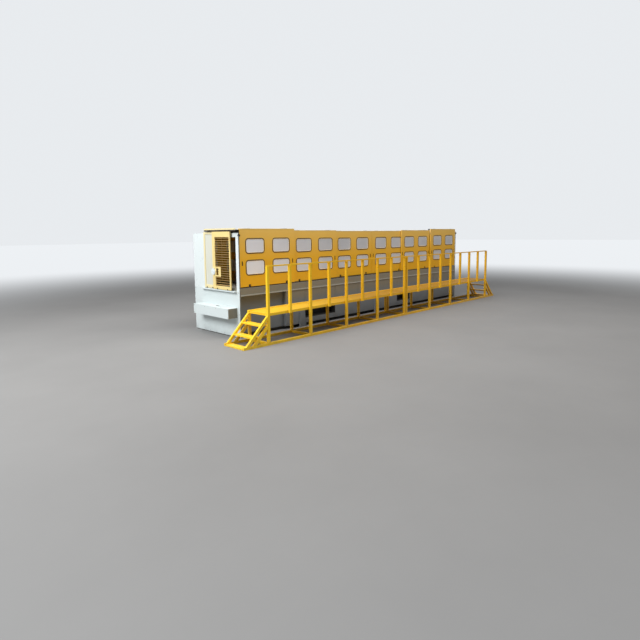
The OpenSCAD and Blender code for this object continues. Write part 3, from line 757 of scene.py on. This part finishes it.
def face_rims(boxes, axis, side, inset, longest):
    """Places along the rims of the boxes' faces on the low (0) or high (1) side of an axis."""
    across, up = [other for other in range(3) if other != axis]
    places = []
    for box in boxes:
        low, high = box
        for step in rim_places(high[across] - low[across], high[up] - low[up], inset, longest):
            place = (low + high) / 2
            place[across] += step[0]
            place[up] += step[1]
            place[axis] = box[side][axis]
            places.append(place)
    return places


class LINE_OT_screws(bpy.types.Operator):
    """Screws that hold the covers, end panels, step box, roof and rear panels"""
    bl_idname = "line.screws"
    bl_label = "Screws"

    def execute(self, context):
        inset, box_inset, margin, pull_room = settings("fixing").screw_inset, 0.03, 0.02, 0.3
        cover_pitch, roof_pitch, end_pitch, box_pitch = 0.75, 0.85, 0.65, 0.5
        left, back, right = math.radians(-90), math.pi, math.radians(90)
        screw = make_screw(zinc())
        blocked = solids("motor_pedestals")
        front = [p for p in face_rims(solids("front_covers"), 1, 0, inset, cover_pitch)
                 if not any(a.x - margin < p.x < b.x + margin and p.z < b.z + margin for a, b in blocked)]
        rear = face_rims(solids("rear_panels"), 1, 1, inset, cover_pitch)
        roof = face_rims(solids("roof_panels"), 2, 1, inset, roof_pitch)
        left_end = face_rims([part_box("left_end_panel")], 0, 0, inset, end_pitch)
        right_end = face_rims([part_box("right_end_panel")], 0, 1, inset, end_pitch)
        box_low, box_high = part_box("step_box")
        middle = (box_low + box_high) / 2
        step_box = [p for p in face_rims([(box_low, box_high)], 0, 0, box_inset, box_pitch)
                    if p.z > middle.z or abs(p.y - middle.y) > pull_room]
        self.fit(screw, "cover_screws", (front, 0, "Z"))
        self.fit(screw, "rear_screws", (rear, back, "Z"))
        self.fit(screw, "roof_screws", (roof, left, "X"))
        self.fit(screw, "end_screws", (left_end, left, "Z"), (right_end, right, "Z"), (step_box, left, "Z"))
        discard(screw)
        return {"FINISHED"}

    def fit(self, screw, name, *rows):
        places = [Matrix.Translation(place) @ Matrix.Rotation(angle, 4, axis)
                  for row, angle, axis in rows for place in row]
        piece = copies(screw, places, name)
        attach(piece, "frame")


class LINE_OT_step_shaded_ends(bpy.types.Operator):
    """Grey plates on both ends of the step box, in the bed's darker grey as painted shade on the box's ends"""
    bl_idname = "line.step_ends"
    bl_label = "Step box ends"

    def execute(self, context):
        low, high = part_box("step_box")
        inset, thick, rim, proud = 0.004, 0.002, 0.012, 0.0008
        plate = cube("plate", (high.x - low.x - 2 * inset, thick, high.z - low.z - 2 * inset))
        pick_faces(plate, (0, -1, 0))
        inset_face(rim)
        shift(y=-proud)
        # painted shade: the darker grey plates stand for the shade on the step box's ends
        close_piece(plate, painted("step_end_paint", "bed", (0.12, 0.3, 0.2, 0.4)), bevel=0.0006, segments=1)
        x, z = (low.x + high.x) / 2, (low.z + high.z) / 2
        piece = copies(plate, [Matrix.Translation((x, low.y - thick / 2, z)),
                               Matrix.Translation((x, high.y + thick / 2, z)) @ HALF_TURN], "step_box_ends")
        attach(piece, "frame")
        discard(plate)
        return {"FINISHED"}


class LINE_OT_step_pull(bpy.types.Operator):
    """Flush pull in the step box's lid"""
    bl_idname = "line.step_pull"
    bl_label = "Step box pull"

    def execute(self, context):
        low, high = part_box("step_box")
        size, corner, rim, recess = (0.042, 0.12, 0.004), 0.012, 0.007, 0.003
        share, from_front = 0.6, 0.665
        middle = Vector((low.x + share * (high.x - low.x), low.y + from_front, high.z + size[2] / 2))
        pull = cube("step_pull", size, middle)
        pick_edges(pull, lambda centre: abs(centre.z - middle.z) < HAIR)
        round_edges(corner, 4)
        pick_faces(pull, (0, 0, 1))
        inset_face(rim)
        extrude(z=-recess)
        close_piece(pull, dark_steel(), bevel=0.0006, segments=1)
        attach(pull, "frame")
        return {"FINISHED"}


class LINE_OT_bay_shade_linings(bpy.types.Operator):
    """Black sheet linings in the open motor bays between the sills and the heads, painted shade for the deep bays
    """
    bl_idname = "line.bay_linings"
    bl_label = "Motor bay linings"

    def execute(self, context):
        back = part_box("bed_core")[0].y
        # painted shade: the black linings stand for the shade inside the bays
        finish = bay_lining()
        play, wall, least_bay = 0.001, 0.0012, 0.1
        boxes = solids("front_covers")
        for low, high in boxes:
            heads = [box for box in boxes if abs(box[0].x - low.x) < HAIR and box[0].z > high.z + least_bay]
            if not heads:
                continue
            head_z = heads[0][0].z
            lining = cube("motor_bay_lining",
                          (high.x - low.x - 2 * play, back - low.y - 2 * play, head_z - high.z - 2 * play),
                          ((low.x + high.x) / 2, (low.y + back) / 2, (high.z + head_z) / 2))
            pick_faces(lining, (0, -1, 0))
            bpy.ops.mesh.delete(type="FACE")
            bpy.ops.object.mode_set(mode="OBJECT")
            thicken = lining.modifiers.new("Wall", "SOLIDIFY")
            thicken.thickness = wall
            thicken.offset = -1.0
            bpy.ops.object.modifier_apply(modifier=thicken.name)
            bpy.ops.object.mode_set(mode="EDIT")
            close_piece(lining, finish, smooth=False)
            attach(lining, "frame")
        return {"FINISHED"}


class LINE_OT_floor_shade_seals(bpy.types.Operator):
    """Dark rubber strips in the gaps under the end panels, painted shadow for these gaps"""
    bl_idname = "line.floor_seals"
    bl_label = "Floor seals"

    def execute(self, context):
        # painted shadow: the near-black strips stand for the shadow in the gaps under the end panels
        finish = rubber("seal_rubber", (0.02, 0.018, 0.016))
        play = 0.004
        for node in ("left_end_panel", "right_end_panel"):
            low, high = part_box(node)
            strip = rounded_strip(node.replace("end_panel", "floor_seal"),
                                  (high.x - low.x - play, high.y - low.y - play, low.z),
                                  ((low.x + high.x) / 2, (low.y + high.y) / 2, low.z / 2),
                                  lambda middle: middle.z > 0.9 * low.z, 0.002, 2, finish)
            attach(strip, "frame")
        return {"FINISHED"}


class LINE_OT_edge_shade_trims(bpy.types.Operator):
    """Grey strips along the front edges of both ends, painted shade for these front-facing edges"""
    bl_idname = "line.edge_trims"
    bl_label = "Edge strips"

    def execute(self, context):
        # painted shade: grey strips where the white frames' front edges lie in shade
        grey = painted("edge_paint", "edge", (0.1, 0.1, 0.4, 0.4))
        play, thick = 0.002, 0.0015
        for side in ("left", "right"):
            low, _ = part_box(f"{side}_end_panel")
            _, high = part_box(f"{side}_end_frame")
            strip = rounded_strip(f"{side}_edge_strip", (high.x - low.x - play, thick, high.z - low.z - play),
                                  ((low.x + high.x) / 2, low.y - thick / 2, (low.z + high.z) / 2),
                                  lambda middle: middle.y < low.y - 0.9 * thick, 0.001, 1, grey)
            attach(strip, "frame")
        return {"FINISHED"}


class LINE_OT_lock_cap(bpy.types.Operator):
    """Pale cap with the key cylinder on the louvred leaf's lock"""
    bl_idname = "line.lock_cap"
    bl_label = "Lock cap"

    def execute(self, context):
        low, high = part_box("louvre_leaf")
        disc, proud, depth = settings("fixing").disc_radius, 0.0015, 0.030
        radius = disc + proud
        rim = [v.co.z for v in NODES["louvre_leaf"].data.vertices if v.co.y > high.y - HAIR]
        cap = cylinder("lock_cap", 48, radius, depth, (0, 0, 0), (0, math.radians(-90), 0))
        pick_faces(cap, (-1, 0, 0))
        for share, step in ((0.1, 0.001), (0.5, -0.005), (0.18, 0.004)):
            inset_face(share * radius)
            extrude(x=step)
        select_all()
        shift(low.x - proud + depth / 2, high.y - disc, sum(rim) / len(rim))
        close_piece(cap, painted("cap_paint", "white", (0.05, 0.05, 0.0, 0.25)), bevel=0.0004)
        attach(cap, "louvred_leaf")
        return {"FINISHED"}


class LINE_OT_end_stop(bpy.types.Operator):
    """White post on the left end frame that the glazed leaf closes against"""
    bl_idname = "line.end_stop"
    bl_label = "End stop"

    def execute(self, context):
        leaf_low, leaf_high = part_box("glazed_leaf")
        post_low, post_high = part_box("left_end_frame")
        _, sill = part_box("end_door_sill")
        play, lap, below_top, slope, set_back = 0.006, 0.02, 0.01, 0.004, 0.004
        front, top = leaf_low.x + set_back, post_high.z - below_top
        depth = post_low.x - front
        post = cube("end_stop_post", (depth, lap, top - sill.z),
                    (front + depth / 2, sill.y + lap / 2, (top + sill.z) / 2))
        pick_faces(post, (0, -1, 0))
        extrude(y=-slope)
        bpy.ops.transform.resize(value=((leaf_high.x - front) / depth, 1, 1),
                                 center_override=(front, sill.y, sill.z))
        extrude(y=leaf_high.y + play + slope - sill.y)
        finish = painted("stop_paint", "white", (0.04, 0.1, 0.1, 0.3), wear=(0.4, 0.4, 0.4))
        close_piece(post, finish, bevel=0.002, smooth=False)
        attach(post, "frame")
        return {"FINISHED"}


class LINE_OT_leaf_shoes(bpy.types.Operator):
    """Dark guide shoes at the lower edges of the end leaves, over the sill"""
    bl_idname = "line.leaf_shoes"
    bl_label = "Leaf shoes"

    def execute(self, context):
        finish = dark_steel()
        size, corner, rim, recess, ahead, lift = (0.007, 0.044, 0.026), 0.006, 0.007, 0.002, 0.005, 0.012
        for leaf, body in (("louvre", "louvred_leaf"), ("glazed", "glazed_leaf")):
            low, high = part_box(f"{leaf}_leaf")
            rollers = solids(f"{leaf}_fittings")
            face = rollers[0][0].x - ahead
            shoe = cube("shoe", size)
            pick_edges(shoe, lambda middle: middle.x < -0.4 * size[0] and abs(middle.y) > 0.4 * size[1])
            round_edges(corner, 3)
            pick_faces(shoe, (-1, 0, 0))
            inset_face(rim)
            extrude(x=recess)
            close_piece(shoe, finish, bevel=0.0008, segments=1)
            middles = sorted({round((a.y + b.y) / 2, 3) for a, b in rollers if a.z < low.z})
            places = [Vector((face - size[0] / 2, y, low.z + lift)) for y in middles]
            piece = copies(shoe, places, f"{leaf}_leaf_shoes")
            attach(piece, body)
            discard(shoe)
        return {"FINISHED"}


def make_weld(length, material):
    """A weld bead along Y in the corner between a post's side (X 0) and a level face (Z 0), with its ripples."""
    size, waves, waist = settings("fixing").weld, 6, 0.82
    obj = cube("weld", (size, length, size), (size / 2, 0, size / 2))
    pick_edges(obj, lambda middle: middle.x > 0.9 * size and middle.z > 0.9 * size)
    round_edges(0.9 * size, 1)
    for step in range(1, waves):
        select_all()
        bpy.ops.mesh.bisect(plane_co=(0, length * (step / waves - 0.5), 0), plane_no=(0, 1, 0))
    mesh = bmesh.from_edit_mesh(obj.data)
    for vertex in mesh.verts:
        wave = round((vertex.co.y / length + 0.5) * waves)
        if 0 < wave < waves and wave % 2:
            vertex.co.x *= waist
            vertex.co.z *= waist
    bmesh.update_edit_mesh(obj.data)
    return close_piece(obj, material)


class LINE_OT_welds(bpy.types.Operator):
    """Weld beads beside the walkway's posts and legs"""
    bl_idname = "line.welds"
    bl_label = "Welds"

    def execute(self, context):
        finish = painted("weld_paint", "yellow", (0.2, 0.2, 0.4, 0.35), wear=(0.30, 0.16, 0.02))
        bead = make_weld(settings("fixing").weld_length, finish)
        flip = Matrix.Rotation(math.pi, 4, "X")
        margin, foot = 0.01, 0.1
        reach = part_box("floor_rails")[1].x - margin
        places = []
        for node in ("walk_posts", "back_legs"):
            for low, high in solids(node):
                y = (low.y + high.y) / 2
                for x, side in ((high.x, Matrix.Identity(4)), (low.x, HALF_TURN)):
                    if abs(x) >= reach:
                        continue
                    if low.z < foot:
                        places.append(Matrix.Translation((x, y, low.z)) @ side)
                    places.append(Matrix.Translation((x, y, high.z)) @ side @ flip)
        piece = copies(bead, places, "weld_beads")
        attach(piece, "frame")
        discard(bead)
        return {"FINISHED"}


# Finishes of the nodes

def finish_plan():
    """Pairs of a finish and its nodes. The walkway's yellow takes the nodes that no other finish names."""
    low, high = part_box("rear_panels")
    bed_surface, chipped, rubbed = (0.16, 0.35, 0.5, 0.42), (0.30, 0.16, 0.02), (0.4, 0.4, 0.4)
    clear = tuple(settings("window").end_pane)
    plan = [
        (painted("door_ochre", door_colour, (0.10, 0.25, 0.0, 0.34), wear=(0.30, 0.14, 0.02), rub=0.4,
                 peel=0.03, specular=0.5),
         [f"door_{n}" for n in DOORS] + ["rear_panels", "roof_panels", "right_end_sheet"]),
        # painted highlight: the glazed leaf and the rail cover take the cream, yellow paint washed pale by the
        # strong light
        (painted("leaf_paint", "cream", (0.06, 0.1, 0.0, 0.34), wear=(0.40, 0.25, 0.06)),
         ["glazed_leaf", "end_rail_cover"]),
        # painted highlight in part: the louvred leaf's yellow is paled for the strong light at the left end
        (painted("leaf_yellow", "leaf", (0.06, 0.1, 0.0, 0.32), wear=(0.40, 0.22, 0.04)), ["louvre_leaf"]),
        (painted("slat_paint", "slat", (0.08, 0.2, 0.0, 0.35), wear=(0.30, 0.18, 0.05)), ["louvre_slats"]),
        (painted("rib_paint", "rib", (0.1, 0.3, 0.0, 0.4), wear=(0.25, 0.25, 0.24)), ["ledge_rib"]),
        # painted shade: the deck's yellow darkens along the line towards the far colour
        (painted("deck_paint", "deck", (0.16, 0.04, 0.45, 0.45), wear=chipped,
                 tone=("X", -5.4, -1.5, 1.0, "deck_far_shade")), ["walk_deck"]),
        (painted("bed_core_paint", "bed", bed_surface, seams=(low.x, (high.x - low.x) / 6, 1.0)), ["bed_core"]),
        # painted shade: the covers turn to the cooler grey below the deck
        (painted("bed_paint", "bed", bed_surface, tone=("Z", 0.85, 0.55, 1.0, "bed_low_shade")),
         ["front_band", "front_covers", "motor_pedestals"]),
        (painted("pale_paint", "pale", (0.05, 0.1, 0.35, 0.35), wear=(0.35, 0.36, 0.36)),
         ["left_end_panel", "right_end_panel", "step_box", "head_beam", "end_door_sill"]),
        (painted("white_paint", "white", (0.04, 0.1, 0.1, 0.3), wear=rubbed),
         ["left_end_frame", "right_end_frame"]),
        (dark_steel(), [f"door_{n}_fittings" for n in DOORS]
         + ["corner_knobs", "wheel_rails", "end_door_rail", "louvre_fittings", "glazed_fittings"]),
        (pane("end_pane", clear, clear), ["glazed_pane"]),
        (turned_iron(), ["drawing_blocks"]),
    ]
    named = {node for _, nodes in plan for node in nodes}
    hidden = {"rear_windows"} | {f"door_{n}_windows" for n in DOORS}
    # painted shade: the walkway's yellow darkens along the line towards the far colour
    yellow = painted("walkway_paint", "yellow", (0.12, 0.12, 0.45, 0.3), wear=chipped,
                     tone=("X", -5.4, -2.5, 1.0, "yellow_far_shade"))
    plan.append((yellow, [node for node in NODES if node not in named and node not in hidden]))
    return plan


class LINE_OT_finishes(bpy.types.Operator):
    """Paint, steel, turned iron and the end pane on the line's own nodes"""
    bl_idname = "line.finishes"
    bl_label = "Finishes"

    def execute(self, context):
        for material, nodes in finish_plan():
            for node in nodes:
                mesh = NODES[node].data
                mesh.materials.clear()
                mesh.materials.append(material)
        return {"FINISHED"}


# Stage

class LINE_OT_stage(bpy.types.Operator):
    """Camera, floor and light"""
    bl_idname = "line.stage"
    bl_label = "Stage"

    def execute(self, context):
        stage = settings("stage")
        self.place_camera(stage)
        self.lay_floor()
        self.light_stage(stage)
        return {"FINISHED"}

    def place_camera(self, stage):
        data = bpy.data.cameras.new("camera")
        data.sensor_width = 36.0
        data.lens = stage.lens
        data.shift_y = stage.shift
        data.clip_end = 200.0
        camera = bpy.data.objects.new("camera", data)
        ahead = Vector((math.cos(stage.tilt) * math.cos(stage.yaw), math.cos(stage.tilt) * math.sin(stage.yaw),
                        -math.sin(stage.tilt)))
        right = ahead.cross(Vector((0, 0, 1))).normalized()
        up = right.cross(ahead)
        turn_right = right * math.cos(stage.roll) + up * math.sin(stage.roll)
        turn_up = up * math.cos(stage.roll) - right * math.sin(stage.roll)
        turn = Matrix((turn_right, turn_up, -ahead)).transposed()
        camera.matrix_world = Matrix.Translation(stage.eye) @ turn.to_4x4()
        bpy.context.collection.objects.link(camera)
        bpy.context.scene.camera = camera

    def lay_floor(self):
        deselect()
        bpy.ops.mesh.primitive_plane_add(size=settings("stage").floor_size, location=(0, 0, 0))
        obj = begin("hall_floor")
        select_all()
        bpy.ops.mesh.subdivide(number_cuts=3)
        bpy.ops.object.mode_set(mode="OBJECT")
        obj.data.materials.append(floor_finish())

    def add_area(self, name, place, aim, size, power, colour):
        data = bpy.data.lights.new(name, "AREA")
        data.shape = "RECTANGLE"
        data.size, data.size_y = size
        data.energy = power
        data.color = colour
        light = bpy.data.objects.new(name, data)
        direction = Vector(aim) - Vector(place)
        light.rotation_euler = direction.to_track_quat("-Z", "Y").to_euler()
        light.location = place
        bpy.context.collection.objects.link(light)

    def light_stage(self, stage):
        world = bpy.data.worlds.new("surround")
        world.use_nodes = True
        tree = world.node_tree
        back = tree.nodes["Background"]
        back.inputs["Color"].default_value = (*stage.sky_colour, 1.0)
        path = add_node(tree, "LightPath")
        tree.links.new(spread(tree, path.outputs["Is Camera Ray"], 0.0, 1.0, stage.surround, stage.backdrop),
                       back.inputs["Strength"])
        bpy.context.scene.world = world
        bpy.context.scene.view_settings.view_transform = "Standard"
        bpy.context.scene.view_settings.look = "None"
        self.add_area("left_windows", (-15, 0.6, 8.5), (-5, 0, 1.2), (9, 5), stage.window_power, (0.97, 0.99, 1.0))
        self.add_area("roof_light", (-3, -3.6, 12.5), (-1, -0.8, 0), (18, 6), stage.roof_power, (1.0, 0.985, 0.96))


class LINE_PT_panel(bpy.types.Panel):
    bl_label = "Rolling line"
    bl_idname = "LINE_PT_panel"
    bl_space_type = "VIEW_3D"
    bl_region_type = "UI"
    bl_category = "Rolling line"

    def draw(self, context):
        for operator in OPERATORS:
            self.layout.operator(operator.bl_idname)
        for kind, group_class in SETTINGS.items():
            box = self.layout.box()
            for field in group_class.__annotations__:
                box.prop(settings(kind), field)


SETTINGS = {"stage": StageSettings, "paint": PaintSettings, "window": WindowSettings, "fixing": FixingSettings}
OPERATORS = (LINE_OT_stage, LINE_OT_finishes, LINE_OT_windows, LINE_OT_door_highlight_strips, LINE_OT_screws,
             LINE_OT_step_shaded_ends, LINE_OT_step_pull, LINE_OT_bay_shade_linings, LINE_OT_floor_shade_seals, LINE_OT_edge_shade_trims,
             LINE_OT_lock_cap, LINE_OT_end_stop, LINE_OT_leaf_shoes, LINE_OT_welds)
CLASSES = (*SETTINGS.values(), *OPERATORS, LINE_PT_panel)


def register():
    for cls in CLASSES:
        bpy.utils.register_class(cls)
    for kind, group_class in SETTINGS.items():
        setattr(bpy.types.Scene, "line_" + kind, bpy.props.PointerProperty(type=group_class))


def unregister():
    for kind in SETTINGS:
        delattr(bpy.types.Scene, "line_" + kind)
    for cls in reversed(CLASSES):
        bpy.utils.unregister_class(cls)


def main():
    register()
    bpy.ops.line.stage()
    bpy.ops.line.finishes()
    bpy.ops.line.windows()
    bpy.ops.line.door_strips()
    bpy.ops.line.screws()
    bpy.ops.line.step_ends()
    bpy.ops.line.step_pull()
    bpy.ops.line.bay_linings()
    bpy.ops.line.floor_seals()
    bpy.ops.line.edge_trims()
    bpy.ops.line.lock_cap()
    bpy.ops.line.end_stop()
    bpy.ops.line.leaf_shoes()
    bpy.ops.line.welds()
    deselect()


if __name__ == "__main__":
    main()
